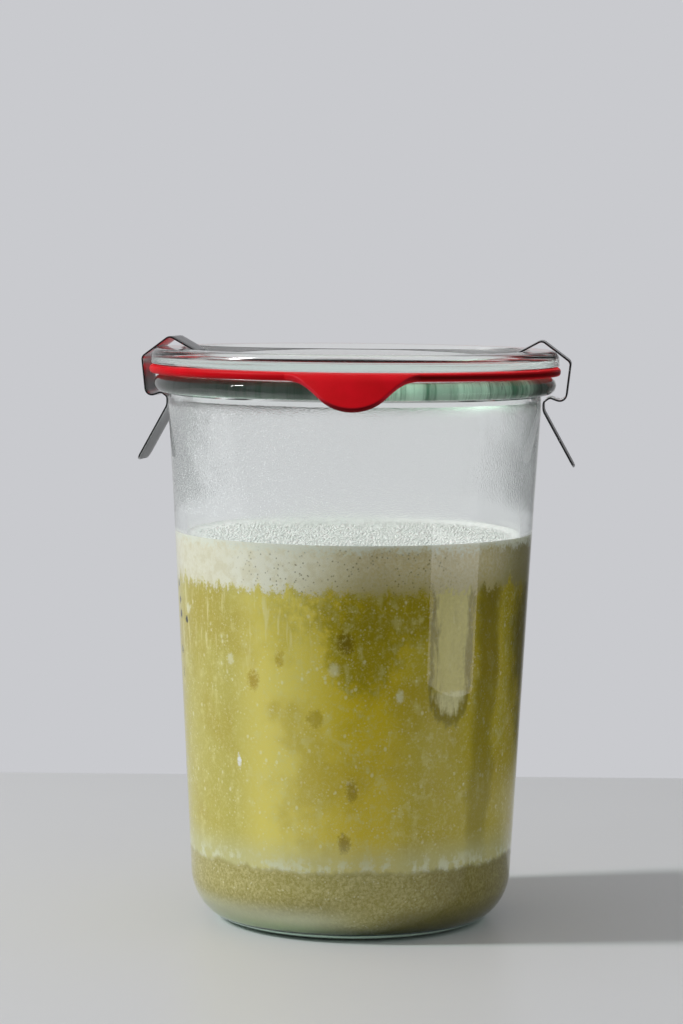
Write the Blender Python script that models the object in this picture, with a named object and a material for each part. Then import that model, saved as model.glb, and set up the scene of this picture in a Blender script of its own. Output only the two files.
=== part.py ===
"""Preserving jar: a tapered glass body with a rounded rim, a glass lid seated on a rubber ring
with a pull tab, and two spring strip clips, filled with juice, its foam and its sediment.

Metres, +Z up. The jar stands on z = 0 with its axis on Z, and the tab points along -Y.
"""

import math

import bmesh
import bpy
from mathutils import Vector

# Fits shared by all pieces
GAP = 0.0003  # air between two pieces that touch
SNAP_ROOM = 0.00015  # what a clip's hook clears the rim by as it swings off
FACETS = 64  # round each turned piece
SHARP_ANGLE = math.radians(35)  # edges that turn more than this stay crisp

# Glass body: the waist sets its width, and all above and below follows by insets and overhangs
WAIST_RADIUS = 0.0475
WAIST_HEIGHT = 0.1106
FOOT_INSET = 0.0051  # outer wall where the heel ends, inside the waist
HEEL_REACH = 0.0105
HEEL_RISE = 0.0135
NECK_FLARE = 0.00146  # neck outside the waist
NECK_RISE = 0.0238  # neck above the waist
WALL = 0.0030
FLOOR = 0.0045  # inner floor above the table
PUSH_UP = 0.0008  # hollow under the floor
BEARING_WIDTH = 0.0035  # flat ring that the jar stands on
RIM_OVERHANG = 0.00384  # rim outside the neck
RIM_RISE = 0.0094  # rim's top above the neck
BEAD = 0.0023  # radius of the rolled rim
THROAT_RISE = 0.0006  # chamfer between neck and rim
THROAT_ANGLE = math.radians(-108)
RIM_WIDTH = 0.0072  # from the rim's outside to the mouth
LIP_ROUND = 0.0012

# Rubber ring
RING_OVERHANG = 0.0012  # ring outside the rim
RING_WIDTH = 0.0070
RING_THICK = 0.0020
RING_CHAMFER_REACH = 0.0014
RING_CHAMFER_RISE = 0.0008
RING_ROUND = 0.0005

# Pull tab, measured along the bent tongue
TAB_AZIMUTH = math.radians(-90.9)
TAB_ANCHOR = 0.0040  # how far inside the ring's edge the tongue starts
TAB_LENGTH = 0.0147
TAB_TIP_RADIUS = 0.0110
TAB_FLARE_START = 0.0110  # from here back to the ring the tongue widens
TAB_SHOULDER = 0.0042  # radius of the hollow where tongue meets ring
TAB_ROOT_HALF_WIDTH = 0.0165
TAB_THICK = 0.0017
TAB_BEND_START = 0.0034
TAB_BEND_RADIUS = 0.0036
TAB_DROOP = math.radians(56)
TAB_STATIONS = 18

# Glass lid
LID_OVERHANG = 0.0008  # lid outside the rim
LID_FLANGE = 0.0042  # flange thickness over the ring
LID_CORNER = 0.0024
LID_LOWER_CHAMFER = 0.0007
DISH_INSET = 0.0076  # dish's brim inside the lid's edge
DISH_DEPTH = 0.0016
DISH_SLOPE = 0.0016
REGISTER_DROP = 0.0022  # step that centres the rubber ring
REGISTER_FIT = 0.0004
SPIGOT_FIT = 0.0008
SPIGOT_DROP = 0.0049
SPIGOT_CHAMFER = 0.0006
SPIGOT_WIDTH = 0.0028
UNDERDISH_RISE = 0.0029
UNDERDISH_SLOPE = 0.0020

# Spring clips, as a strip bent along a path in the plane through the jar's axis
CLIP_AZIMUTHS = {"clip_left": math.radians(168), "clip_right": math.radians(-5)}
STRIP_THICK = 0.00045
STRIP_WIDTH = 0.0110
TIP_SETBACK = 0.0024  # arm's tip inside the dish's foot
PEAK_SETBACK = 0.0045
PEAK_RISE = 0.0028
SHOULDER_REACH = 0.0030
HEEL_OF_CLIP_REACH = 0.0026
HEEL_OF_CLIP_DROP = 0.0021
HOOK_SETBACK = 0.0015
THROAT_LENGTH = 0.0022
TAIL_REACH = 0.0082
TAIL_DROP = 0.0147
PEAK_BEND = 0.0016
SHOULDER_BEND = 0.0015
HEEL_OF_CLIP_BEND = 0.0018
HOOK_BEND = 0.0010
TAIL_BEND = 0.0030
TAIL_CORNER = 0.0020
CORNER_STEPS = 3

# Contents
SEDIMENT_TOP = 0.0185
JUICE_DEPTH = 0.0715
FOAM_DEPTH = 0.0128

# Levels and radii that follow from the sizes above
FOOT_RADIUS = WAIST_RADIUS - FOOT_INSET
NECK_RADIUS = WAIST_RADIUS + NECK_FLARE
NECK_HEIGHT = WAIST_HEIGHT + NECK_RISE
RIM_RADIUS = NECK_RADIUS + RIM_OVERHANG
RIM_TOP = NECK_HEIGHT + RIM_RISE
MOUTH_RADIUS = RIM_RADIUS - RIM_WIDTH
RING_OUTER = RIM_RADIUS + RING_OVERHANG
RING_INNER = RING_OUTER - RING_WIDTH
TAB_ROOT = RING_OUTER - TAB_ANCHOR
LID_RADIUS = RIM_RADIUS + LID_OVERHANG
DISH_RADIUS = LID_RADIUS - DISH_INSET
BEARING_OUTER = FOOT_RADIUS - HEEL_REACH
JUICE_TOP = SEDIMENT_TOP + JUICE_DEPTH
FOAM_TOP = JUICE_TOP + FOAM_DEPTH
BEAD_CENTRE = Vector((RIM_RADIUS - BEAD, RIM_TOP - BEAD))
RING_BOTTOM = RIM_TOP + GAP
RING_TOP = RING_BOTTOM + RING_THICK
LID_BOTTOM = RING_TOP + GAP
LID_TOP = LID_BOTTOM + LID_FLANGE
DISH_FLOOR = LID_TOP - DISH_DEPTH
DISH_FOOT = DISH_RADIUS - DISH_SLOPE
TIP = Vector((DISH_FOOT - TIP_SETBACK, DISH_FLOOR + GAP + STRIP_THICK / 2))


def clear_scene():
    for item in list(bpy.data.objects):
        bpy.data.objects.remove(item, do_unlink=True)


def material(name, colour, roughness, metallic=0.0, alpha=1.0):
    """A Principled material in a piece's own colour."""
    made = bpy.data.materials.new(name)
    made.use_nodes = True
    shader = made.node_tree.nodes["Principled BSDF"]
    shader.inputs["Base Color"].default_value = (*colour, 1.0)
    shader.inputs["Roughness"].default_value = roughness
    shader.inputs["Metallic"].default_value = metallic
    shader.inputs["Alpha"].default_value = alpha
    return made


def add_object(name, mesh, surface):
    """Put a mesh in the scene, shaded smooth across its gentle edges."""
    mesh.shade_smooth()
    mesh.set_sharp_from_angle(angle=SHARP_ANGLE)
    mesh.materials.append(surface)
    made = bpy.data.objects.new(name, mesh)
    bpy.context.scene.collection.objects.link(made)
    return made


def arc(centre, reach, rise, start, end, steps):
    """Points (radius, height) along part of an ellipse, both ends included."""
    points = []
    for i in range(steps + 1):
        angle = start + (end - start) * i / steps
        points.append((centre[0] + reach * math.cos(angle), centre[1] + rise * math.sin(angle)))
    return points


def turned(name, outline, surface, closed=False):
    """Spin an outline of (radius, height) points round Z into one solid."""
    shape = bmesh.new()
    verts = [shape.verts.new((radius, 0, height)) for radius, height in outline]
    edges = [shape.edges.new(pair) for pair in zip(verts, verts[1:])]
    if closed:
        edges.append(shape.edges.new((verts[-1], verts[0])))
    bmesh.ops.spin(
        shape,
        geom=verts + edges,
        cent=(0, 0, 0),
        axis=(0, 0, 1),
        angle=2 * math.pi,
        steps=FACETS,
        use_merge=True,
    )
    bmesh.ops.remove_doubles(shape, verts=shape.verts, dist=GAP / FACETS)
    bmesh.ops.recalc_face_normals(shape, faces=shape.faces)
    mesh = bpy.data.meshes.new(name)
    shape.to_mesh(mesh)
    shape.free()
    return add_object(name, mesh, surface)


def between(height, low, high):
    """Radius at a height on the straight line between two (radius, height) points."""
    share = (height - low[1]) / (high[1] - low[1])
    return low[0] + share * (high[0] - low[0])


def bore_radius(height):
    """Inner radius of the glass wall at a height above the heel."""
    foot = (FOOT_RADIUS - WALL, HEEL_RISE)
    waist = (WAIST_RADIUS - WALL, WAIST_HEIGHT)
    neck = (NECK_RADIUS - WALL, NECK_HEIGHT)
    if height < WAIST_HEIGHT:
        return between(height, foot, waist)
    return between(height, waist, neck)


def glass_jar():
    """Body: push-up, bearing ring, soft heel, tapered wall and rolled rim, then back down inside."""
    down, side, top = -math.pi / 2, 0, math.pi / 2
    heel_centre = (BEARING_OUTER, HEEL_RISE)
    push_up_radius = BEARING_OUTER - BEARING_WIDTH
    throat_top = BEAD_CENTRE.y + BEAD * math.sin(THROAT_ANGLE)
    outline = [(0, PUSH_UP), (push_up_radius - PUSH_UP, PUSH_UP), (push_up_radius, 0)]
    outline += arc(heel_centre, HEEL_REACH, HEEL_RISE, down, side, 6)
    outline += [(WAIST_RADIUS, WAIST_HEIGHT), (NECK_RADIUS, NECK_HEIGHT)]
    outline += [(NECK_RADIUS, throat_top - THROAT_RISE)]
    outline += arc(BEAD_CENTRE, BEAD, BEAD, THROAT_ANGLE, top, 8)
    lip_centre = (MOUTH_RADIUS + LIP_ROUND, RIM_TOP - LIP_ROUND)
    outline += arc(lip_centre, LIP_ROUND, LIP_ROUND, top, math.pi, 2)
    outline += [(NECK_RADIUS - WALL, NECK_HEIGHT), (WAIST_RADIUS - WALL, WAIST_HEIGHT)]
    outline += arc(heel_centre, HEEL_REACH - WALL, HEEL_RISE - FLOOR, side, down, 6)
    outline += [(0, FLOOR)]
    return turned("glass_jar", outline, material("jar_glass", (0.80, 0.88, 0.84), 0.05, alpha=0.35))


def contents():
    """Sediment, juice and foam, each a slug that fills the bore with a hair of room."""
    side, down = 0, -math.pi / 2
    reach = HEEL_REACH - WALL - GAP
    rise = HEEL_RISE - FLOOR - GAP
    heel = arc((BEARING_OUTER, HEEL_RISE), reach, rise, down, side, 6)
    sediment = [(0, FLOOR + GAP)] + heel
    sediment += [(bore_radius(SEDIMENT_TOP) - GAP, SEDIMENT_TOP), (0, SEDIMENT_TOP)]
    turned("pulp_sediment", sediment, material("sediment", (0.30, 0.27, 0.12), 0.6))
    for name, colour, low, high in (
        ("green_juice", (0.36, 0.36, 0.10), SEDIMENT_TOP + GAP, JUICE_TOP),
        ("juice_foam", (0.80, 0.74, 0.62), JUICE_TOP + GAP, FOAM_TOP),
    ):
        slug = [(0, low), (bore_radius(low) - GAP, low), (bore_radius(high) - GAP, high), (0, high)]
        turned(name, slug, material(name + "_colour", colour, 0.5))


def tab_half_width(along):
    """Half the tongue's width at a distance along it: hollow shoulders, then a rounded tip."""
    past = max(0, along - TAB_LENGTH + TAB_TIP_RADIUS)
    back = max(0, TAB_FLARE_START - along)
    tip = math.sqrt(max(0, TAB_TIP_RADIUS**2 - past**2))
    return min(tip + back**2 / (2 * TAB_SHOULDER), TAB_ROOT_HALF_WIDTH)


def tab_place(along):
    """(distance from the axis, height) of the tongue's middle plane at a distance along it."""
    mid = (RING_BOTTOM + RING_TOP) / 2
    bend_length = TAB_BEND_RADIUS * TAB_DROOP
    if along <= TAB_BEND_START:
        return TAB_ROOT + along, mid
    turned_by = min(along - TAB_BEND_START, bend_length) / TAB_BEND_RADIUS
    rest = max(0, along - TAB_BEND_START - bend_length)
    out = TAB_BEND_RADIUS * math.sin(turned_by) + rest * math.cos(TAB_DROOP)
    drop = TAB_BEND_RADIUS * (1 - math.cos(turned_by)) + rest * math.sin(TAB_DROOP)
    return TAB_ROOT + TAB_BEND_START + out, mid - drop


def solidify(made, thick):
    shell = made.modifiers.new("Thickness", "SOLIDIFY")
    shell.thickness = thick
    shell.offset = 0
    shell.use_even_offset = True


def ribbon(name, stations):
    """A sheet from pairs of edge points, one pair at each station along it."""
    shape = bmesh.new()
    rows = [[shape.verts.new(point) for point in pair] for pair in stations]
    for row, following in zip(rows, rows[1:]):
        shape.faces.new((row[0], row[1], following[1], following[0]))
    bmesh.ops.recalc_face_normals(shape, faces=shape.faces)
    mesh = bpy.data.meshes.new(name)
    shape.to_mesh(mesh)
    shape.free()
    return mesh


def rubber_ring():
    """Flat ring with its pull tab: the tongue is bent down over the rim and joined into the ring."""
    surface = material("red_rubber", (0.62, 0.02, 0.05), 0.45)
    inner, outer = RING_INNER, RING_OUTER
    outline = [
        (inner, RING_BOTTOM),
        (outer - RING_CHAMFER_REACH, RING_BOTTOM),
        (outer, RING_BOTTOM + RING_CHAMFER_RISE),
        (outer, RING_TOP - RING_ROUND),
        (outer - RING_ROUND, RING_TOP),
        (inner, RING_TOP),
    ]
    ring = turned("rubber_ring", outline, surface, closed=True)
    stations = []
    for i in range(TAB_STATIONS + 1):
        # stations crowd towards the tip, where the outline turns fastest
        along = TAB_LENGTH * math.sin(math.pi / 2 * i / (TAB_STATIONS + 0.5))
        out, height = tab_place(along)
        half = tab_half_width(along)
        stations.append([(out, half, height), (out, -half, height)])
    tongue = add_object("tab_guide", ribbon("tab_guide", stations), surface)
    tongue.rotation_euler.z = TAB_AZIMUTH
    solidify(tongue, TAB_THICK)
    tongue.hide_render = True
    tongue.display_type = "WIRE"
    join = ring.modifiers.new("Tab", "BOOLEAN")
    join.operation = "UNION"
    join.solver = "EXACT"
    join.object = tongue
    return ring


def glass_lid():
    """Lid: dished top, rounded flange over the ring, register in the ring and spigot in the mouth."""
    register = RING_INNER - REGISTER_FIT
    spigot = MOUTH_RADIUS - SPIGOT_FIT
    spigot_bottom = LID_BOTTOM - SPIGOT_DROP
    corner = (LID_RADIUS - LID_CORNER, LID_TOP - LID_CORNER)
    outline = [(0, DISH_FLOOR), (DISH_FOOT, DISH_FLOOR), (DISH_RADIUS, LID_TOP)]
    outline += arc(corner, LID_CORNER, LID_CORNER, math.pi / 2, 0, 5)
    outline += [
        (LID_RADIUS, LID_BOTTOM + LID_LOWER_CHAMFER),
        (LID_RADIUS - LID_LOWER_CHAMFER, LID_BOTTOM),
        (register, LID_BOTTOM),
        (register, LID_BOTTOM - REGISTER_DROP),
        (spigot, LID_BOTTOM - REGISTER_DROP),
        (spigot, spigot_bottom + SPIGOT_CHAMFER),
        (spigot - SPIGOT_CHAMFER, spigot_bottom),
        (spigot - SPIGOT_WIDTH, spigot_bottom),
        (spigot - SPIGOT_WIDTH - UNDERDISH_SLOPE, spigot_bottom + UNDERDISH_RISE),
        (0, spigot_bottom + UNDERDISH_RISE),
    ]
    return turned("glass_lid", outline, material("lid_glass", (0.80, 0.88, 0.84), 0.05, alpha=0.35))


def tangent_direction(point, centre, radius):
    """Direction from a point along the line that just touches a circle on its outer side."""
    away = centre - point
    angle = math.atan2(away.y, away.x) + math.asin(radius / away.length)
    return Vector((math.cos(angle), math.sin(angle)))


def clip_corners():
    """(corner, bend radius) pairs of the strip's middle line, as (radius, height) in the jar's frame.

    The arm rests its tip in the lid's dish, peaks, bears on the lid's corner and comes down outside
    the ring. The hook passes under the rim on a circle about the tip, so the clip swings off.
    """
    half = STRIP_THICK / 2
    stand_off = GAP + half
    peak = Vector((LID_RADIUS - PEAK_SETBACK, LID_TOP + PEAK_RISE))
    lid_corner = Vector((LID_RADIUS - LID_CORNER, LID_TOP - LID_CORNER))
    slope = tangent_direction(peak, lid_corner, LID_CORNER + stand_off)
    shoulder_radius = LID_RADIUS + SHOULDER_REACH
    shoulder = peak + slope * ((shoulder_radius - peak.x) / slope.x)
    rim_bottom = RIM_TOP - 2 * BEAD
    heel = Vector((RIM_RADIUS + HEEL_OF_CLIP_REACH, rim_bottom - HEEL_OF_CLIP_DROP))
    swing = (BEAD_CENTRE - TIP).length + BEAD + SNAP_ROOM + half

    def on_swing(radius):
        return Vector((radius, TIP.y - math.sqrt(swing**2 - (radius - TIP.x) ** 2)))

    hook = on_swing(RIM_RADIUS - HOOK_SETBACK)
    throat = on_swing(NECK_RADIUS + stand_off + SNAP_ROOM)
    tail_start = Vector((throat.x, throat.y - THROAT_LENGTH))
    tail_end = tail_start + Vector((TAIL_REACH, -TAIL_DROP))
    return [
        (TIP, 0),
        (peak, PEAK_BEND),
        (shoulder, SHOULDER_BEND),
        (heel, HEEL_OF_CLIP_BEND),
        (hook, HOOK_BEND),
        (throat, HOOK_BEND),
        (tail_start, TAIL_BEND),
        (tail_end, 0),
    ]


def bent_path(corners, steps):
    """The corners' path with each corner turned into an arc of its bend radius."""
    path = [corners[0][0]]
    for (before, _), (here, radius), (after, _) in zip(corners, corners[1:], corners[2:]):
        back = (before - here).normalized()
        ahead = (after - here).normalized()
        half_turn = back.angle(ahead) / 2
        inward = (back + ahead).normalized()
        centre = here + inward * (radius / math.sin(half_turn))
        start = here + back * (radius / math.tan(half_turn)) - centre
        end = here + ahead * (radius / math.tan(half_turn)) - centre
        sweep = start.angle(end)
        for i in range(steps + 1):
            share = i / steps
            spoke = start * math.sin(sweep * (1 - share)) + end * math.sin(sweep * share)
            path.append(centre + spoke / math.sin(sweep))
    path.append(corners[-1][0])
    return path


def strip_half_width(to_end):
    """Half the strip's width at a distance from its tail end, whose corners are round."""
    half = STRIP_WIDTH / 2
    if to_end >= TAIL_CORNER:
        return half
    return half - TAIL_CORNER + math.sqrt(TAIL_CORNER**2 - (TAIL_CORNER - to_end) ** 2)


def clip_mesh():
    """One strip, built about the hinge line through its tip: X outward, Y along the strip's width."""
    path = bent_path(clip_corners(), CORNER_STEPS)
    end = path.pop()
    into_tail = (path[-1] - end).normalized()
    for i in range(CORNER_STEPS, -1, -1):
        to_end = TAIL_CORNER * (1 - math.cos(math.pi / 2 * i / CORNER_STEPS))
        path.append(end + into_tail * to_end)
    stations = []
    for point in path:
        half = strip_half_width((point - end).length)
        out, height = point - TIP
        stations.append([(out, half, height), (out, -half, height)])
    return ribbon("spring_strip", stations)


def spring_clips():
    """Two alike clips, each with its origin on its hinge line in the lid's dish."""
    steel = material("spring_steel", (0.62, 0.62, 0.62), 0.3, metallic=1.0)
    strip = clip_mesh()
    for name, azimuth in CLIP_AZIMUTHS.items():
        clip = add_object(name, strip.copy(), steel)
        clip.location = (TIP.x * math.cos(azimuth), TIP.x * math.sin(azimuth), TIP.y)
        clip.rotation_euler.z = azimuth
        solidify(clip, STRIP_THICK)


clear_scene()
glass_jar()
contents()
rubber_ring()
glass_lid()
spring_clips()
bpy.context.view_layer.update()
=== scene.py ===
"""Looks of the preserving jar: smooth glass, juice, foam and sediment, rubber ring and spring clips.

Metres, +Z up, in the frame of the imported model. The tab points along -Y, towards the camera.
"""

import math

import bmesh
import bpy
from mathutils import Matrix, Vector


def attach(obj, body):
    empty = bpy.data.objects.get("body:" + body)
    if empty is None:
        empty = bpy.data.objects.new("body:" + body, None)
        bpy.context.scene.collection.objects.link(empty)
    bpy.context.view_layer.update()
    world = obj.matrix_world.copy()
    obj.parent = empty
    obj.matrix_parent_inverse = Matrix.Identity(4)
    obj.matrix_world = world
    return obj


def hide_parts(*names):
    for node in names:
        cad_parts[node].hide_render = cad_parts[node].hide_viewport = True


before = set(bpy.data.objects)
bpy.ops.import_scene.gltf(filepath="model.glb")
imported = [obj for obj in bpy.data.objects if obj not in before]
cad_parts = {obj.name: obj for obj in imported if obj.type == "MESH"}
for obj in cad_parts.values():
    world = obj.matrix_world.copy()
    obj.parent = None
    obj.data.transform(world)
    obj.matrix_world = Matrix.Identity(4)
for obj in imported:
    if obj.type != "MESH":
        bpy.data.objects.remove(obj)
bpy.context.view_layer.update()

# Glass body
WAIST_RADIUS = 0.0475
WAIST_HEIGHT = 0.1106
FOOT_RADIUS = 0.0424
HEEL_REACH = 0.0105
HEEL_RISE = 0.0135
NECK_RADIUS = 0.04896
NECK_HEIGHT = 0.1344
WALL = 0.0030
FLOOR = 0.0045
PUSH_UP = 0.0008
BEARING_WIDTH = 0.0035
RIM_RADIUS = 0.0528
RIM_TOP = 0.1438
BEAD = 0.0023
THROAT_RISE = 0.0006
THROAT_ANGLE = math.radians(-108)
MOUTH_RADIUS = 0.0456
LIP_ROUND = 0.0012
FOOT_STEP = 0.0004
COLLAR = 0.00012
COLLAR_HEIGHT = 0.1378
COLLAR_REACH = 0.0004

# Rubber ring and its tab
GAP = 0.0003
RING_INNER = 0.0470
RING_OUTER = 0.0540
RING_THICK = 0.0020
TAB_AZIMUTH = math.radians(-90.9)
TAB_ROOT = 0.0500
TAB_LENGTH = 0.0147
TAB_TIP_RADIUS = 0.0110
TAB_FLARE_START = 0.0110
TAB_SHOULDER = 0.0042
TAB_THICK = 0.0017
TAB_BEND_START = 0.0034
TAB_BEND_RADIUS = 0.0036
TAB_DROOP = math.radians(56)
TABBED_TURN = 0.36
RING_EDGE_ROUND = 0.0008
RING_BORE_ROUND = 0.0004
RING_BORE_RISE = 0.0006

# Glass lid
LID_RADIUS = 0.0536
LID_FLANGE = 0.0042
LID_CORNER = 0.0024
LID_LOWER_CHAMFER = 0.0003
DISH_RADIUS = 0.0460
DISH_DEPTH = 0.0016
DISH_SLOPE = 0.0016
REGISTER_DROP = 0.0022
REGISTER_FIT = 0.0004
SPIGOT_FIT = 0.0008
SPIGOT_DROP = 0.0049
SPIGOT_CHAMFER = 0.0006
SPIGOT_WIDTH = 0.0028
UNDERDISH_RISE = 0.0048
UNDERDISH_SLOPE = 0.0020

# Spring clips
CLIP_AZIMUTHS = {"clip_left": math.radians(168), "clip_right": math.radians(-5)}
STRIP_THICK = 0.00045
STRIP_WIDTH = 0.0110
TIP_SETBACK = 0.0024
PEAK_SETBACK = 0.0045
PEAK_RISE = 0.0028
SHOULDER_REACH = 0.0030
HEEL_OF_CLIP_REACH = 0.0026
HEEL_OF_CLIP_DROP = 0.0021
HOOK_SETBACK = 0.0015
SNAP_ROOM = 0.00015
THROAT_LENGTH = 0.0022
TAIL_REACH = 0.0082
TAIL_DROP = 0.0147
BENDS = (0.0016, 0.0015, 0.0018, 0.0010, 0.0010, 0.0030)
TAIL_CORNER = 0.0020

# Filling, seen through the wall that it wets
WETTING = 0.0001
SEDIMENT_TOP = 0.0185
JUICE_TOP = 0.0900
FOAM_TOP = 0.1028
FOAM_SINK = 0.0010
BUBBLES_SINK = 0.0009

# Condensation: inner wall's heights, a hair inside it
HEADSPACE_HEIGHTS = (0.1085, 0.1200, 0.1360)
HEADSPACE_INSET = 0.00004

# Smear on the right: a darker drip edge round a painted reflection of a pale panel, and the painted
# shade band beside it, as angles round the jar and heights
SMEAR_ANGLE = 0.610
SMEAR_HALF_WIDTH = 0.128
SMEAR_NARROWS_AT = 0.0675
SMEAR_END_LENGTH = 0.0098
REFLECTION_PALER_BELOW = (0.0654, 0.0640)
BAND_ANGLE = 0.90
BAND_HALF_WIDTH = 0.11

# Depth of the rolled rim and of the foot, seen inside the glass, as inner sheets that carry painted
# light and shade
RIM_PAINTED_DEPTH = (
    (0.0502, 0.1396),
    (0.0508, 0.1397),
    (0.0509, 0.1412),
    (0.0508, 0.1430),
    (0.0502, 0.1431),
)
FOOT_PAINTED_DEPTH_START = (0.0300, 0.0009)
FOOT_PAINTED_DEPTH_INSET = 0.0008
FOOT_PAINTED_DEPTH_ARC = (-1.62, -1.02)

# Levels that follow
BEARING_OUTER = FOOT_RADIUS - HEEL_REACH
BEAD_CENTRE = Vector((RIM_RADIUS - BEAD, RIM_TOP - BEAD))
RING_BOTTOM = RIM_TOP + GAP
RING_TOP = RING_BOTTOM + RING_THICK
LID_BOTTOM = RING_TOP + GAP
LID_TOP = LID_BOTTOM + LID_FLANGE
DISH_FLOOR = LID_TOP - DISH_DEPTH
DISH_FOOT = DISH_RADIUS - DISH_SLOPE
TIP = Vector((DISH_FOOT - TIP_SETBACK, DISH_FLOOR + GAP + STRIP_THICK / 2))

FINE = 192  # facets round a turned piece


def shown(red, green, blue):
    """A colour as a screen shows it, 0 to 255, as the linear colour that Blender works in."""
    out = []
    for value in (red, green, blue):
        share = value / 255
        out.append(share / 12.92 if share < 0.04045 else ((share + 0.055) / 1.055) ** 2.4)
    return (*out, 1.0)


# Clear pockets in the juice: angle round the jar, height, half width as an angle, half height
CLEAR_POCKETS = (
    (0.22, 0.0865, 0.46, 0.0100),
    (0.07, 0.0760, 0.24, 0.0130),
)
# Spots on the front wall: the same four measures, strength and colour
BROWN = shown(164, 136, 4)
PIP = shown(30, 34, 6)
CURD = shown(244, 242, 206)
SPOTS = (
    (-0.045, 0.0781, 0.048, 0.0028, 0.92, shown(130, 110, 4)),
    (-0.44, 0.0736, 0.032, 0.0020, 0.60, shown(186, 154, 20)),
    (-0.62, 0.0678, 0.040, 0.0026, 0.70, shown(186, 152, 20)),
    (-0.22, 0.0584, 0.055, 0.0022, 0.45, BROWN),
    (0.0, 0.0405, 0.034, 0.0030, 0.70, BROWN),
    (-0.045, 0.0268, 0.042, 0.0025, 0.85, BROWN),
    (-0.02, 0.0178, 0.050, 0.0012, 0.60, BROWN),
    (0.28, 0.0643, 0.026, 0.0017, 0.70, CURD),
    (-0.79, 0.0722, 0.028, 0.0015, 0.60, CURD),
    (-0.11, 0.0712, 0.034, 0.0018, 0.50, CURD),
    # painted highlight: a small white glint on the left
    (-0.745, 0.0462, 0.016, 0.0020, 1.00, shown(255, 255, 250)),
    (-1.24, 0.0835, 0.030, 0.0014, 0.80, CURD),
    (-1.44, 0.0893, 0.030, 0.0010, 1.00, PIP),
    (-1.42, 0.0850, 0.024, 0.0010, 1.00, PIP),
    (-1.41, 0.0812, 0.030, 0.0012, 1.00, PIP),
    (-1.28, 0.0803, 0.022, 0.0010, 1.00, PIP),
    (-1.42, 0.0718, 0.018, 0.0010, 0.90, PIP),
    (-1.41, 0.0655, 0.012, 0.0016, 0.60, PIP),
)


# Node trees


class Wire:
    """One socket of a node tree. Sums on it read as Python and add Math nodes."""

    def __init__(self, tree, socket):
        self.tree = tree
        self.socket = socket

    def __add__(self, other):
        return self.tree.maths("ADD", self, other)

    def __sub__(self, other):
        return self.tree.maths("SUBTRACT", self, other)

    def __rsub__(self, other):
        return self.tree.maths("SUBTRACT", other, self)

    def __mul__(self, other):
        return self.tree.maths("MULTIPLY", self, other)

    def __truediv__(self, other):
        return self.tree.maths("DIVIDE", self, other)

    def __pow__(self, other):
        return self.tree.maths("POWER", self, other)

    def __abs__(self):
        return self.tree.maths("ABSOLUTE", self)

    __radd__ = __add__
    __rmul__ = __mul__

    def most(self, other):
        return self.tree.maths("MAXIMUM", self, other)

    def least(self, other):
        return self.tree.maths("MINIMUM", self, other)

    def step(self, low, high):
        """0 below low and 1 above high, with a soft passage; low may be the greater."""
        return self.tree.node(
            "ShaderNodeMapRange",
            {"interpolation_type": "SMOOTHSTEP"},
            {"Value": self, "From Min": low, "From Max": high},
        )

    def out(self, name):
        return Wire(self.tree, self.socket.node.outputs[name])


class Tree:
    """A node tree that is written as expressions."""

    def __init__(self, tree):
        self.tree = tree
        tree.nodes.clear()

    def node(self, kind, settings=None, values=None, out=0):
        """Any node: its settings are set first, then its sockets get values or links."""
        made = self.tree.nodes.new(kind)
        for name, value in (settings or {}).items():
            setattr(made, name, value)
        for key, value in (values or {}).items():
            if isinstance(value, Wire):
                self.tree.links.new(value.socket, made.inputs[key])
            else:
                made.inputs[key].default_value = value
        return Wire(self, made.outputs[out]) if made.outputs else made

    def maths(self, operation, *values):
        return self.node("ShaderNodeMath", {"operation": operation}, dict(enumerate(values)))

    def place(self):
        return self.node("ShaderNodeTexCoord", out="Object")

    def parts(self, vector):
        split = self.node("ShaderNodeSeparateXYZ", values={0: vector})
        return split.out("X"), split.out("Y"), split.out("Z")

    def stretched(self, vector, factors):
        return self.node("ShaderNodeVectorMath", {"operation": "MULTIPLY"}, {0: vector, 1: factors})

    def dot(self, vector, direction):
        settings = {"operation": "DOT_PRODUCT"}
        return self.node("ShaderNodeVectorMath", settings, {0: vector, 1: direction}, "Value")

    def noise(self, vector, scale, detail=2.0, roughness=0.5):
        values = {"Vector": vector, "Scale": scale, "Detail": detail, "Roughness": roughness}
        return self.node("ShaderNodeTexNoise", values=values)

    def cells(self, vector, scale):
        return self.node("ShaderNodeTexVoronoi", values={"Vector": vector, "Scale": scale})

    def blend(self, share, first, second):
        """Colour that passes from the first to the second as share goes from 0 to 1."""
        return self.node("ShaderNodeMix", {"data_type": "RGBA"}, {0: share, 6: first, 7: second}, 2)

    def bump(self, height, distance):
        return self.node("ShaderNodeBump", values={"Height": height, "Distance": distance})

    def surface(self, values):
        return self.node("ShaderNodeBsdfPrincipled", values=values)

    def mixed(self, share, first, second):
        """Shader that passes from the first to the second as share goes from 0 to 1."""
        return self.node("ShaderNodeMixShader", values={0: share, 1: first, 2: second})

    def ray(self, kind):
        return self.node("ShaderNodeLightPath", out=kind)

    def finish(self, surface, volume=None):
        values = {"Surface": surface}
        if volume:
            values["Volume"] = volume
        self.node("ShaderNodeOutputMaterial", values=values)


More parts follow.
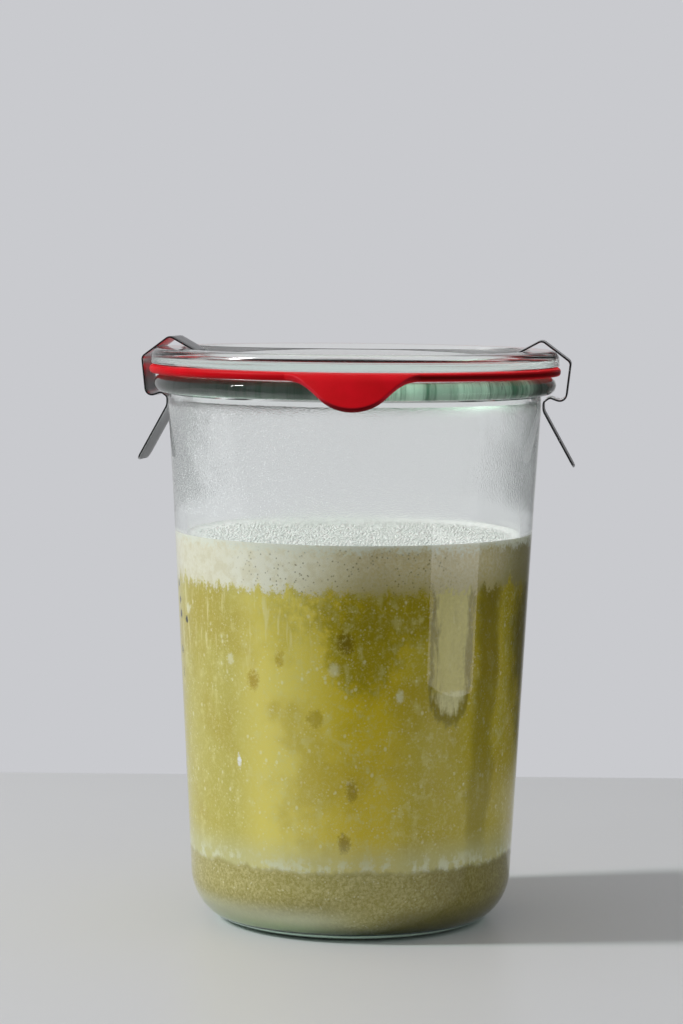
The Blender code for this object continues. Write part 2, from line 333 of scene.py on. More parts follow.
class Pattern(Tree):
    """A Geometry Nodes tree with named sizes, grown on a base mesh into a plain mesh."""

    def __init__(self, name, sizes):
        group = bpy.data.node_groups.new(name, "GeometryNodeTree")
        super().__init__(group)
        self.sizes = sizes
        ports = group.interface
        ports.new_socket("Geometry", in_out="INPUT", socket_type="NodeSocketGeometry")
        ports.new_socket("Geometry", in_out="OUTPUT", socket_type="NodeSocketGeometry")
        self.ports = {
            label: ports.new_socket(label, in_out="INPUT", socket_type="NodeSocketFloat")
            for label in sizes
        }
        self.entry = group.nodes.new("NodeGroupInput")

    def entry_mesh(self):
        return Wire(self, self.entry.outputs["Geometry"])

    def given(self, label):
        return Wire(self, self.entry.outputs[label])

    def leave(self, geometry, surface):
        whole = self.node("GeometryNodeRealizeInstances", values={"Geometry": geometry})
        values = {"Geometry": whole, "Material": surface}
        dressed = self.node("GeometryNodeSetMaterial", values=values)
        self.node("NodeGroupOutput", values={"Geometry": dressed})

    def grown(self, name, base, *finishing):
        """The tree's result on a base mesh, and after further modifiers, as a plain mesh."""
        holder = linked(name, base)
        modifier = holder.modifiers.new("Pattern", "NODES")
        modifier.node_group = self.tree
        for label, port in self.ports.items():
            modifier[port.identifier] = self.sizes[label]
        for kind, settings in finishing:
            further = holder.modifiers.new(kind, kind)
            for key, value in settings.items():
                setattr(further, key, value)
        graph = bpy.context.evaluated_depsgraph_get()
        mesh = bpy.data.meshes.new_from_object(holder.evaluated_get(graph), depsgraph=graph)
        bpy.data.objects.remove(holder)
        return mesh


def linked(name, data):
    """A new object in the scene, at the origin."""
    made = bpy.data.objects.new(name, data)
    bpy.context.scene.collection.objects.link(made)
    return made


def material(name):
    made = bpy.data.materials.new(name)
    made.use_nodes = True
    return made, Tree(made.node_tree)


# Finishes


def wall_angle(tree, x, y):
    """Angle round the jar from the camera's side, greater to the right, mirrored at the back."""
    return tree.maths("ARCSINE", x / (x * x + y * y) ** 0.5)


def outwards(x, y, low, high):
    """0 within low of the axis and 1 beyond high, with a soft passage; low may be the greater."""
    return (x * x + y * y).step(low**2, high**2)


def see_through(tree, surface):
    """Lets lamps shine through a clear surface."""
    passing = tree.ray("Is Shadow Ray")
    passing = passing.most(passing.out("Is Diffuse Ray"))
    return tree.mixed(passing, surface, tree.node("ShaderNodeBsdfTransparent"))


def mist(tree):
    """Fine mist on the inner wall, from above the foam to the neck: its normal and roughness."""
    place = tree.place()
    x, y, z = tree.parts(place)
    inside = outwards(x, y, 0.0469, 0.0464)
    zone = z.step(FOAM_TOP + 0.004, FOAM_TOP + 0.014) * z.step(0.1390, 0.1350)
    patches = tree.noise(place, 70, 2).step(0.25, 0.65) * 0.5 + 0.5
    share = inside * zone * patches
    beads = tree.noise(place, 2600, 2, 0.6)
    return tree.bump(beads * share, 0.00011), share * 0.11


def mould_rings(tree):
    """Ripple that the mould leaves round the lid's edge: its normal and roughness."""
    place = tree.place()
    x, y, z = tree.parts(place)
    rings = tree.noise(tree.stretched(place, (7, 7, 800)), 1, 2, 0.6)
    outside = outwards(x, y, 0.0500, 0.0525)
    return tree.bump(rings * outside, 0.00010), outside * 0.13


def glass(name, density, marks):
    """Clear pressed glass with a faint green body and its own marks. Lamps shine through it."""
    made, tree = material(name)
    normal, roughness = marks(tree)
    clear = tree.surface(
        {
            "Base Color": (1, 1, 1, 1),
            "Roughness": roughness,
            "IOR": 1.5,
            "Transmission Weight": 1.0,
            "Normal": normal,
        }
    )
    depth = tree.node(
        "ShaderNodeVolumeAbsorption", values={"Color": (0.25, 0.80, 0.55, 1), "Density": density}
    )
    tree.finish(see_through(tree, clear), depth)
    return made


def water():
    """Condensed droplets, milky with the finest mist, with a faint painted glow for their sparkle.
    """
    made, tree = material("condensation")
    place = tree.place()
    milky = tree.noise(place, 900, 1)
    clear = tree.surface(
        {
            "Base Color": tree.blend(milky, shown(240, 243, 245), shown(252, 253, 253)),
            "Roughness": 0.25 + milky * 0.20,
            "IOR": 1.33,
            # painted light: a faint glow that makes the droplets sparkle
            "Emission Color": (0.97, 0.98, 1.0, 1.0),
            "Emission Strength": 0.16,
        }
    )
    veil = tree.ray("Is Shadow Ray").most(milky.step(0.40, 0.60) * 0.30 + 0.10)
    tree.finish(tree.mixed(veil, clear, tree.node("ShaderNodeBsdfTransparent")))
    return made


def rim_painted_depth_glass():
    """The clouded green depth of the rolled rim, striped by the mould. Its colour paints light and
    shade: painted shade darkens it on the left and at the right edge, and painted light makes the
    stripes between bright mint.
    """
    made, tree = material("rim_painted_depth")
    place = tree.place()
    x, y, z = tree.parts(place)
    angle = wall_angle(tree, x, y)
    stripes = tree.noise(tree.stretched(place, (1, 1, 0.08)), 260, 4, 0.75)
    patches = tree.noise(tree.stretched(place, (1, 1, 0.3)), 60, 2)
    cracks = abs(tree.noise(tree.stretched(place, (1, 1, 0.2)), 420, 3) - 0.5)
    cracks = cracks.step(0.030, 0.006) * angle.step(0.55, 0.75)
    # painted light: the bright mint of the stripes stands in for light that the rim carries round
    # from the left
    green = tree.blend(stripes.step(0.36, 0.54), shown(70, 132, 96), shown(212, 255, 226))
    green = tree.blend(patches.step(0.56, 0.40) * 0.45, green, shown(62, 108, 82))
    green = tree.blend(cracks * 0.6, green, shown(40, 60, 48))
    # painted shade: dark on the left and at the right edge
    green = tree.blend(angle.step(0.0, -0.25) * 0.97, green, shown(8, 34, 20))
    green = tree.blend(angle.step(1.0, 1.15) * 0.85, green, shown(30, 42, 34))
    body = tree.surface(
        {"Base Color": green, "Roughness": 0.45, "IOR": 1.5, "Transmission Weight": 1.0}
    )
    tree.finish(see_through(tree, body))
    return made


def foot_painted_depth_glass():
    """The foot's depth: dark green, with a painted highlight as the pale line of its bearing edge.
    """
    made, tree = material("foot_painted_depth")
    place = tree.place()
    height = tree.parts(place)[2] + tree.noise(place, 90, 2) * 0.0003
    # painted highlight: the pale line along the bearing edge
    line = height.step(0.0009, 0.0011) * height.step(0.0024, 0.0021)
    body = tree.surface(
        {
            "Base Color": tree.blend(line, shown(42, 60, 44), shown(226, 252, 234)),
            "Roughness": 0.6,
            "Specular IOR Level": 0.0,
        }
    )
    tree.finish(body)
    return made


def filling(name, glow, tint, reach):
    """Juice with foam above and sediment below, in one colour scheme so that the layers bleed.

    Light spreads inside by the reach, in metres, tinted per colour.
    """
    made, tree = material(name)
    place = tree.place()
    x, y, z = tree.parts(place)
    angle = wall_angle(tree, x, y)
    clouds = tree.noise(place, 55, 3, 0.6)
    drips = tree.noise(tree.stretched(place, (1, 1, 0.1)), 260, 2)
    streaks = tree.noise(tree.stretched(place, (1, 1, 0.2)), 420, 3, 0.65)
    granules = tree.noise(place, 1300, 3, 0.75)
    curds = tree.noise(place, 330, 3, 0.65)

    # juice: hazy yellow on the left as painted light, clearer and deeper olive in the middle, dull
    # on the right as painted shade
    juice = tree.blend(angle.step(0.05, -0.42), shown(232, 206, 40), shown(242, 226, 112))
    juice = tree.blend(angle.step(-0.52, -0.85) * 0.9, juice, shown(200, 188, 90))
    juice = tree.blend(angle.step(0.12, 0.45) * 0.9, juice, shown(198, 180, 50))
    juice = tree.blend(clouds.step(0.56, 0.34) * 0.40, juice, shown(186, 160, 14))
    frayed = (clouds - 0.5) * 1.3 + (curds - 0.5) * 1.5
    for middle, up, wide, tall in CLEAR_POCKETS:
        across, rise = (angle - middle) / wide, (z - up) / tall
        pocket = 1.0 - across * across - rise * rise + frayed
        juice = tree.blend(pocket.step(-0.1, 0.8) * 0.85, juice, shown(170, 152, 2))
    upper = z.step(0.0740, JUICE_TOP) * (curds * 0.6 + clouds * 0.4).step(0.38, 0.60)
    juice = tree.blend(upper * angle.step(-0.75, -0.15) * 0.60, juice, shown(162, 144, 6))
    fibres = tree.noise(tree.stretched(place, (1, 1, 0.12)), 620, 2).step(0.58, 0.70)
    fibres = fibres * z.step(0.0640, 0.0800) * angle.step(-0.10, -0.45)
    juice = tree.blend(fibres * 0.55, juice, shown(246, 238, 176))
    pale = (streaks * 0.4 + curds * 0.6).step(0.50, 0.66) * 0.40
    pale = pale + granules.step(0.48, 0.72) * 0.42
    juice = tree.blend(pale, juice, shown(234, 226, 150))
    fleck = tree.cells(tree.stretched(place, (1, 1, 0.75)), 430).step(0.24, 0.10)
    fleck = fleck * tree.noise(place, 210, 2).step(0.48, 0.60)
    crumb = tree.cells(place, 1000).step(0.34, 0.14) * tree.noise(place, 320, 1).step(0.46, 0.60)
    juice = tree.blend((fleck * 0.48 + crumb * 0.36).least(1), juice, shown(250, 247, 206))

    # single spots, on the front only
    front = y.step(0.0, -0.003)
    for spot_angle, up, wide, tall, strength, colour in SPOTS:
        over, above = (angle - spot_angle) / wide, (z - up) / tall
        edge = over * over + above * above + (granules - 0.5) * 3.4 + (curds - 0.5) * 2.6
        juice = tree.blend(edge.step(1.6, 0.0) * front * strength, juice, colour)

    # smear on the right: a darker drip edge round a painted reflection of a pale panel, paler at its
    # lower end
    over = (angle - SMEAR_ANGLE) / SMEAR_HALF_WIDTH
    below = (SMEAR_NARROWS_AT - z).most(0) / SMEAR_END_LENGTH
    tongue = 1 - over * over - below * below + (streaks - 0.5) * 1.8 + (curds - 0.5) * 0.8
    juice = tree.blend(tongue.step(-0.60, -0.12) * front * 0.62, juice, shown(124, 110, 12))
    pale_reflection_share = tongue.step(0.0, 0.5) * (granules * 0.6 + streaks * 0.5 + 0.2) * front
    reflection_low_end = (z + (curds - 0.5) * 0.003).step(*REFLECTION_PALER_BELOW)
    pale_reflection_colour = tree.blend(reflection_low_end, shown(242, 230, 128), shown(255, 248, 190))
    juice = tree.blend(pale_reflection_share * (reflection_low_end * 0.15 + 0.8), juice, pale_reflection_colour)

    # painted shade: a dark band beside the smear, and darker still at the jar's right
    wavering = (clouds - 0.5) * 0.20
    band = 1 - ((angle + wavering - BAND_ANGLE) / BAND_HALF_WIDTH) ** 2
    band = band.step(-0.5, 0.9) * (z * 7 + 0.30).least(1)
    juice = tree.blend(band * front * 0.75, juice, shown(112, 98, 6))
    shade = (angle + wavering * 3).step(1.02, 1.36)
    shade = shade * (z + (clouds - 0.5) * 0.07).step(0.038, 0.072)
    juice = tree.blend(shade * 0.72, juice, shown(50, 44, 2))

    # pale haze that settles towards the sediment
    juice = tree.blend(z.step(0.0290, 0.0205) * 0.55, juice, shown(214, 214, 168))
    wisp = (curds * 0.6 + streaks * 0.4).step(0.46, 0.60) * z.step(0.0240, 0.0190)
    juice = tree.blend(wisp * 0.7, juice, shown(236, 238, 214))

    # foam: cream, whiter on the left as painted light and greyer to the right as painted shade, with
    # small dark pits and a painted highlight along its top edge
    pit = tree.cells(place, 980).step(0.30, 0.12) * tree.noise(place, 240, 1).step(0.34, 0.48)
    pit = pit * angle.step(-0.85, -0.50) * angle.step(0.75, 0.45)
    froth = tree.blend(angle.step(-0.45, 0.20), shown(255, 252, 230), shown(228, 213, 158))
    froth = tree.blend(angle.step(-0.65, -0.95) * 0.7, froth, shown(238, 232, 204))
    froth = tree.blend(granules.step(0.36, 0.64) * 0.40, froth, shown(255, 252, 236))
    froth = tree.blend(curds.step(0.56, 0.36) * 0.25, froth, shown(206, 192, 134))
    sunk = z.step(0.0990, 0.0905) * angle.step(-0.60, 0.20) * (curds * 0.8 + 0.4)
    froth = tree.blend(sunk * 0.80, froth, shown(184, 170, 96))
    froth = tree.blend(angle.step(0.78, 1.25) * 0.75, froth, shown(128, 122, 78))
    froth = tree.blend(pit * 0.62, froth, shown(122, 106, 34))
    # painted highlight: paler along the foam's top edge
    top_edge = z + (granules - 0.5) * 0.006 + (curds - 0.5) * 0.005
    top_edge = top_edge.step(FOAM_TOP - 0.0030, FOAM_TOP - 0.0002)
    froth = tree.blend(top_edge * 0.8, froth, shown(246, 249, 232))

    # sediment: grainy olive brown with pale grains, darker to the right as painted shade; at the
    # very bottom paler on the left as painted light and darker on the right as painted shade
    sediment_shade = angle.step(0.10, 0.80) * 0.80
    mud = tree.blend(sediment_shade, shown(172, 160, 84), shown(116, 104, 38))
    grit = tree.blend(sediment_shade, shown(210, 200, 138), shown(150, 140, 74))
    bed = tree.blend(granules.step(0.36, 0.66), mud, grit)
    bed = tree.blend(curds.step(0.58, 0.40) * 0.35, bed, mud)
    grain = tree.cells(place, 900).step(0.28, 0.14) * tree.noise(place, 260, 1).step(0.46, 0.58)
    bed = tree.blend(grain * (1 - sediment_shade) * 0.6, bed, shown(230, 226, 188))
    low = z.step(0.0110, 0.0062)
    bed = tree.blend(low * angle.step(0.20, -0.35) * 0.85, bed, shown(226, 226, 192))
    bed = tree.blend(low * angle.step(0.00, 0.40) * 0.75, bed, shown(112, 104, 46))

    # the layers bleed into each other along ragged lines
    foam_line = JUICE_TOP + abs(drips - 0.5) * (clouds * 0.024)
    foam_line = foam_line + (granules - 0.5) * 0.0085 + (curds - 0.5) * 0.003
    foam_share = (z - foam_line).step(-0.0010, 0.0012)
    bed_line = SEDIMENT_TOP + 0.0005 + (drips - 0.5) * 0.0030 + (granules - 0.5) * 0.0030
    bed_share = (bed_line - z).step(-0.0008, 0.0008)
    colour = tree.blend(foam_share, juice, froth)
    colour = tree.blend(bed_share, colour, bed)
    tree.finish(
        tree.surface(
            {
                "Base Color": colour,
                "Roughness": 0.7,
                "Specular IOR Level": 0.0,
                "Subsurface Weight": glow,
                "Subsurface Radius": tint,
                "Subsurface Scale": reach,
            }
        )
    )
    return made


def foam_surface():
    """The froth's open top: pale, matt, with fine bubbles."""
    made, tree = material("foam_top")
    place = tree.place()
    froth = tree.cells(place, 1400)
    coarse = tree.noise(place, 420, 3, 0.6)
    colour = tree.blend(coarse.step(0.35, 0.7), shown(234, 241, 234), shown(250, 254, 249))
    body = tree.surface(
        {
            "Base Color": colour,
            "Roughness": 0.8,
            "Specular IOR Level": 0.0,
            "Subsurface Weight": 0.4,
            "Subsurface Radius": (1.0, 1.0, 1.0),
            "Subsurface Scale": 0.003,
            "Normal": tree.bump(froth * 0.6 + coarse, 0.00010),
        }
    )
    tree.finish(body)
    return made


def rubber():
    """Red rubber: painted shade makes it darker on the upright edges in the middle and on the right,
    and under the tab; a painted highlight lightens the tab's edge.
    """
    made, tree = material("red_rubber")
    place = tree.place()
    grain = tree.noise(place, 2600, 2)
    bloom = tree.noise(place, 140, 3)
    edge = tree.node("ShaderNodeAttribute", {"attribute_name": "edge"}, out="Fac")
    upright = tree.parts(tree.node("ShaderNodeNewGeometry", out="True Normal"))[2]
    x, y, z = tree.parts(place)
    flank = abs(upright).step(0.5, 0.2) * wall_angle(tree, x, y).step(-0.45, 0.15)
    colour = tree.blend(bloom.step(0.3, 0.75), shown(208, 0, 16), shown(222, 0, 24))
    # painted shade on the upright flank in the middle and on the right
    colour = tree.blend(flank * (1 - edge) * 0.85, colour, shown(96, 0, 2))
    # painted highlight along the tab's edge
    colour = tree.blend(edge * (grain * 0.4 + 0.5), colour, shown(228, 44, 62))
    # painted shade on the tab's lower edge
    colour = tree.blend(edge * z.step(0.1412, 0.1382) * 0.85, colour, shown(104, 0, 6))
    body = tree.surface(
        {
            "Base Color": colour,
            "Roughness": 0.42 + bloom * 0.12,
            "Specular IOR Level": 0.10,
            "Normal": tree.bump(grain, 0.00004),
        }
    )
    tree.finish(body)
    return made


def steel(name, azimuth):
    """Rolled strip: fine lines along its length, darker on its cut edges."""
    made, tree = material(name)
    sideways = (-math.sin(azimuth), math.cos(azimuth), 0)
    across = tree.dot(tree.place(), sideways)
    normal = tree.node("ShaderNodeNewGeometry", out="True Normal")
    cut = abs(tree.dot(normal, sideways)).step(0.5, 0.9)
    lines = tree.noise(tree.node("ShaderNodeCombineXYZ", values={0: across * 9000}), 1, 2)
    colour = tree.blend(cut, shown(196, 196, 198), shown(60, 60, 62))
    body = tree.surface(
        {
            "Base Color": colour,
            "Metallic": 1.0,
            "Roughness": 0.26 + lines * 0.16 + cut * 0.2,
            "Normal": tree.bump(lines, 0.00001),
        }
    )
    tree.finish(body)
    return made


# Shapes


def settle(name, mesh, surface, sharp=math.radians(40)):
    """An object at the origin from a mesh, shaded smooth across its gentle edges."""
    mesh.shade_smooth()
    mesh.set_sharp_from_angle(angle=sharp)
    if surface:
        mesh.materials.append(surface)
    return linked(name, mesh)


def cast(name, shape):
    """Plain mesh from an edited one, which is freed."""
    mesh = bpy.data.meshes.new(name)
    shape.to_mesh(mesh)
    shape.free()
    return mesh


def arc(centre, reach, rise, start, end, steps):
    """Points along part of an ellipse, from one angle to another."""
    points = []
    for i in range(steps + 1):
        angle = start + (end - start) * i / steps
        points.append((centre[0] + reach * math.cos(angle), centre[1] + rise * math.sin(angle)))
    return points


def spun(name, outline, steps=FINE):
    """Mesh from an outline of (radius, height) points turned about the axis."""
    shape = bmesh.new()
    verts = [shape.verts.new((radius, 0, height)) for radius, height in outline]
    edges = [shape.edges.new(pair) for pair in zip(verts, verts[1:])]
    bmesh.ops.spin(
        shape,
        geom=verts + edges,
        cent=(0, 0, 0),
        axis=(0, 0, 1),
        angle=2 * math.pi,
        steps=steps,
        use_merge=True,
    )
    bmesh.ops.remove_doubles(shape, verts=shape.verts, dist=0.000001)
    bmesh.ops.recalc_face_normals(shape, faces=shape.faces)
    return cast(name, shape)


def turned(name, outline, surface, sharp=math.radians(40)):
    """An object from an outline turned about the axis."""
    return settle(name, spun(name, outline), surface, sharp)


def between(height, low, high):
    """Radius at a height on the line through two (radius, height) points."""
    return low[0] + (high[0] - low[0]) * (height - low[1]) / (high[1] - low[1])


def bore_radius(height):
    """Inner radius of the wall at a height above the heel."""
    if height < WAIST_HEIGHT:
        return between(height, (FOOT_RADIUS - WALL, HEEL_RISE), (WAIST_RADIUS - WALL, WAIST_HEIGHT))
    return between(height, (WAIST_RADIUS - WALL, WAIST_HEIGHT), (NECK_RADIUS - WALL, NECK_HEIGHT))


def glass_body():
    """Tapered tumbler: pushed-up base, stepped foot, soft heel, neck, rolled rim and bore."""
    down, side, top = -math.pi / 2, 0, math.pi / 2
    heel_centre = (BEARING_OUTER, HEEL_RISE)
    push_up_radius = BEARING_OUTER - BEARING_WIDTH
    throat_top = BEAD_CENTRE.y + BEAD * math.sin(THROAT_ANGLE)
    outline = [(0, PUSH_UP), (push_up_radius - PUSH_UP, PUSH_UP), (push_up_radius, 0)]
    outline += [(BEARING_OUTER - FOOT_STEP, 0)]
    outline += arc(heel_centre, HEEL_REACH, HEEL_RISE - FOOT_STEP, down, side, 20)
    outline += [(WAIST_RADIUS, WAIST_HEIGHT), (NECK_RADIUS, NECK_HEIGHT)]
    outline += [(NECK_RADIUS, COLLAR_HEIGHT - COLLAR_REACH), (NECK_RADIUS + COLLAR, COLLAR_HEIGHT)]
    outline += [(NECK_RADIUS, COLLAR_HEIGHT + COLLAR_REACH), (NECK_RADIUS, throat_top - THROAT_RISE)]
    outline += arc(BEAD_CENTRE, BEAD, BEAD, THROAT_ANGLE, top, 22)
    lip_centre = (MOUTH_RADIUS + LIP_ROUND, RIM_TOP - LIP_ROUND)
    outline += arc(lip_centre, LIP_ROUND, LIP_ROUND, top, math.pi, 8)
    outline += [(NECK_RADIUS - WALL, NECK_HEIGHT), (WAIST_RADIUS - WALL, WAIST_HEIGHT)]
    outline += arc(heel_centre, HEEL_REACH - WALL, HEEL_RISE - FLOOR, side, down, 20)
    outline += [(0, FLOOR)]
    return turned("jar_body", outline, glass("jar_glass", 8.0, mist))


def lid_body():
    """Dished lid with a rounded flange, a register step inside the ring and a spigot."""
    register = RING_INNER - REGISTER_FIT
    spigot = MOUTH_RADIUS - SPIGOT_FIT
    spigot_bottom = LID_BOTTOM - SPIGOT_DROP
    corner = (LID_RADIUS - LID_CORNER, LID_TOP - LID_CORNER)
    outline = [(0, DISH_FLOOR), (DISH_FOOT, DISH_FLOOR), (DISH_RADIUS, LID_TOP)]
    outline += arc(corner, LID_CORNER, LID_CORNER, math.pi / 2, 0, 12)
    outline += [
        (LID_RADIUS, LID_BOTTOM + LID_LOWER_CHAMFER),
        (LID_RADIUS - LID_LOWER_CHAMFER, LID_BOTTOM),
        (register, LID_BOTTOM),
        (register, LID_BOTTOM - REGISTER_DROP),
        (spigot, LID_BOTTOM - REGISTER_DROP),
        (spigot, spigot_bottom + SPIGOT_CHAMFER),
        (spigot - SPIGOT_CHAMFER, spigot_bottom),
        (spigot - SPIGOT_WIDTH, spigot_bottom),
        (spigot - SPIGOT_WIDTH - UNDERDISH_SLOPE, spigot_bottom + UNDERDISH_RISE),
        (0, spigot_bottom + UNDERDISH_RISE),
    ]
    return turned("lid_body", outline, glass("lid_glass", 2.2, mould_rings))


def wetted(height):
    return bore_radius(height) + WETTING


def contents():
    """Sediment, juice and foam, each wetting the wall."""
    side, down = 0, -math.pi / 2
    reach, rise = HEEL_REACH - WALL + WETTING, HEEL_RISE - FLOOR + WETTING
    bed = [(0, FLOOR - WETTING)] + arc((BEARING_OUTER, HEEL_RISE), reach, rise, down, side, 20)
    bed += [(wetted(SEDIMENT_TOP), SEDIMENT_TOP), (0, SEDIMENT_TOP)]
    sediment = turned("sediment_bed", bed, filling("sediment", 0.1, (1.0, 0.9, 0.6), 0.002))
    low, high = SEDIMENT_TOP, JUICE_TOP
    slug = [(0, low), (wetted(low), low), (wetted(high), high), (0, high)]
    juice = turned("juice_column", slug, filling("green_juice", 0.15, (1.0, 0.85, 0.3), 0.003))
    low, high = JUICE_TOP, FOAM_TOP
    wall = wetted(high)
    froth = [(0, low), (wetted(low), low), (wall, high)]
    froth += [(wall - 0.0006, high - 0.0004), (wall - 0.0020, high - 0.0008)]
    froth += [(wall * share, high - FOAM_SINK) for share in (0.85, 0.7, 0.5, 0.3, 0.15, 0)]
    body = filling("juice_foam", 0.2, (1.0, 1.0, 0.9), 0.002)
    foam = turned("foam_layer", froth, body, math.radians(60))
    foam.data.materials.append(foam_surface())
    for face in foam.data.polygons:
        if face.normal.z > 0.5:
            face.material_index = 1
    return sediment, juice, foam


def tab_half_width(along):
    """Half the tab's width at a distance along it, with its flared root and round tip."""
    past = max(0, along - TAB_LENGTH + TAB_TIP_RADIUS)
    back = max(0, TAB_FLARE_START - along)
    return math.sqrt(max(0, TAB_TIP_RADIUS**2 - past**2)) + back**2 / (2 * TAB_SHOULDER)


def tab_place(along):
    """(distance from the axis, height, slope) of the ring's middle plane at a distance along it."""
    mid = (RING_BOTTOM + RING_TOP) / 2
    if along <= TAB_BEND_START:
        return TAB_ROOT + along, mid, 0
    slope = min((along - TAB_BEND_START) / TAB_BEND_RADIUS, TAB_DROOP)
    rest = max(0, along - TAB_BEND_START - TAB_BEND_RADIUS * TAB_DROOP)
    out = TAB_BEND_RADIUS * math.sin(slope) + rest * math.cos(slope)
    drop = TAB_BEND_RADIUS * (1 - math.cos(slope)) + rest * math.sin(slope)
    return TAB_ROOT + TAB_BEND_START + out, mid - drop, slope


def ring_reach(turn):
    """How far along the middle plane the rubber goes, at an angle from the tab's middle."""
    low, high = RING_OUTER - TAB_ROOT, TAB_LENGTH
    for _ in range(40):
        mid = (low + high) / 2
        if tab_half_width(mid) > tab_place(mid)[0] * abs(math.sin(turn)):
            low = mid
        else:
            high = mid
    return low


def ring_section(turn):
    """Closed section of the rubber at an angle from the tab's middle, as (radius, height) points.

    Beside them it gives marks: 1 on the tab's outer edge and 0 elsewhere.
    """
    end = ring_reach(turn) if abs(turn) < 0.5 else RING_OUTER - TAB_ROOT
    start = RING_INNER - TAB_ROOT
    tabbed = min(1, (end - (RING_OUTER - TAB_ROOT)) / 0.004)
    half = RING_THICK / 2
    tip_half = half + (TAB_THICK / 2 - half) * tabbed
    upper, lower = [], []
    count = 26

    def middle(along):
        return tab_place(along) if tabbed > 0 else (TAB_ROOT + along, RING_BOTTOM + half, 0)

    for i in range(count + 1):
        share = i / count
        run = end - RING_EDGE_ROUND - start - RING_BORE_ROUND
        out, height, slope = middle(start + RING_BORE_ROUND + run * share)
        thick = half + (tip_half - half) * share**2
        lift = (math.sin(slope) * thick, math.cos(slope) * thick)
        upper.append((out + lift[0], height + lift[1]))
        lower.append((out - lift[0], height - lift[1]))
    edge = []
    out, height, slope = middle(end - RING_EDGE_ROUND)
    for i in range(1, 8):
        angle = math.pi / 2 - math.pi * i / 8
        ahead, side = RING_EDGE_ROUND * math.cos(angle) ** 0.7, tip_half * math.sin(angle)
        edge.append((
            out + ahead * math.cos(slope) + side * math.sin(slope),
            height - ahead * math.sin(slope) + side * math.cos(slope),
        ))
    bore = TAB_ROOT + start
    back = [(bore, RING_BOTTOM + RING_BORE_RISE), (bore, RING_TOP - RING_BORE_RISE)]
    marks = [0] * (count + 1) + [tabbed] * len(edge) + [0] * (count + 1 + len(back))
    return upper + edge + lower[::-1] + back, marks


def sealing_ring():
    """Flat ring whose section reaches out and bends down where the pull tab is."""
    turns = [TABBED_TURN * (i / 70) for i in range(-70, 71)]
    rest = 150
    turns += [TABBED_TURN + (2 * math.pi - 2 * TABBED_TURN) * i / rest for i in range(1, rest)]
    shape = bmesh.new()
    edge = shape.verts.layers.float.new("edge")
    rows = []
    for turn in turns:
        azimuth = TAB_AZIMUTH + turn
        signed = (turn + math.pi) % (2 * math.pi) - math.pi
        points, marks = ring_section(signed)
        row = [
            shape.verts.new((radius * math.cos(azimuth), radius * math.sin(azimuth), height))
            for radius, height in points
        ]
        for vert, mark in zip(row, marks):
            vert[edge] = mark
        rows.append(row)
    for row, following in zip(rows, rows[1:] + rows[:1]):
        for i in range(len(row)):
            j = (i + 1) % len(row)
            shape.faces.new((row[i], row[j], following[j], following[i]))
    bmesh.ops.recalc_face_normals(shape, faces=shape.faces)
    return settle("sealing_ring", cast("sealing_ring", shape), rubber())


def clip_corners():
    """(corner, bend radius) pairs of a clip's middle line, as (radius, height)."""
    half = STRIP_THICK / 2
    stand_off = GAP + half
    peak = Vector((LID_RADIUS - PEAK_SETBACK, LID_TOP + PEAK_RISE))
    lid_corner = Vector((LID_RADIUS - LID_CORNER, LID_TOP - LID_CORNER))
    away = lid_corner - peak
    angle = math.atan2(away.y, away.x) + math.asin((LID_CORNER + stand_off) / away.length)
    slope = Vector((math.cos(angle), math.sin(angle)))
    shoulder = peak + slope * ((LID_RADIUS + SHOULDER_REACH - peak.x) / slope.x)
    heel = Vector((RIM_RADIUS + HEEL_OF_CLIP_REACH, RIM_TOP - 2 * BEAD - HEEL_OF_CLIP_DROP))
    swing = (BEAD_CENTRE - TIP).length + BEAD + SNAP_ROOM + half

    def on_swing(radius):
        return Vector((radius, TIP.y - math.sqrt(swing**2 - (radius - TIP.x) ** 2)))

    hook = on_swing(RIM_RADIUS - HOOK_SETBACK)
    throat = on_swing(NECK_RADIUS + stand_off + SNAP_ROOM)
    tail_start = Vector((throat.x, throat.y - THROAT_LENGTH))
    tail_end = tail_start + Vector((TAIL_REACH, -TAIL_DROP))
    corners = [TIP, peak, shoulder, heel, hook, throat, tail_start, tail_end]
    return list(zip(corners, (0, *BENDS, 0)))


def strip_pattern(surface):
    """A flat strip along a bent line, narrowed by a rounded corner on each side of its free end."""
    tree = Pattern("strip", {"Width": STRIP_WIDTH, "Corner": TAIL_CORNER, "Step": 0.00018})
    line = tree.node("GeometryNodeMeshToCurve", values={"Mesh": tree.entry_mesh()})
    bend = tree.node("GeometryNodeInputNamedAttribute", {"data_type": "FLOAT"}, {"Name": "bend"})
    bent = tree.node(
        "GeometryNodeFilletCurve", {"mode": "POLY"}, {"Curve": line, "Radius": bend, "Count": 12}
    )
    values = {"Curve": bent, "Length": tree.given("Step")}
    fine = tree.node("GeometryNodeResampleCurve", {"mode": "LENGTH"}, values)
    along = tree.node("GeometryNodeSplineParameter", out="Length")
    corner = tree.given("Corner")
    left = (tree.node("GeometryNodeSplineLength") - along).least(corner)
    inset = corner - (corner * corner - (corner - left) * (corner - left)) ** 0.5
    half = tree.given("Width") / 2 - inset
    across = tree.node(
        "GeometryNodeCurvePrimitiveLine", values={"Start": (-1, 0, 0), "End": (1, 0, 0)}
    )
    across = tree.node("GeometryNodeResampleCurve", {"mode": "COUNT"}, {"Curve": across, "Count": 5})
    values = {"Curve": fine, "Profile Curve": across, "Scale": half}
    tree.leave(tree.node("GeometryNodeCurveToMesh", values=values), surface)
    return tree


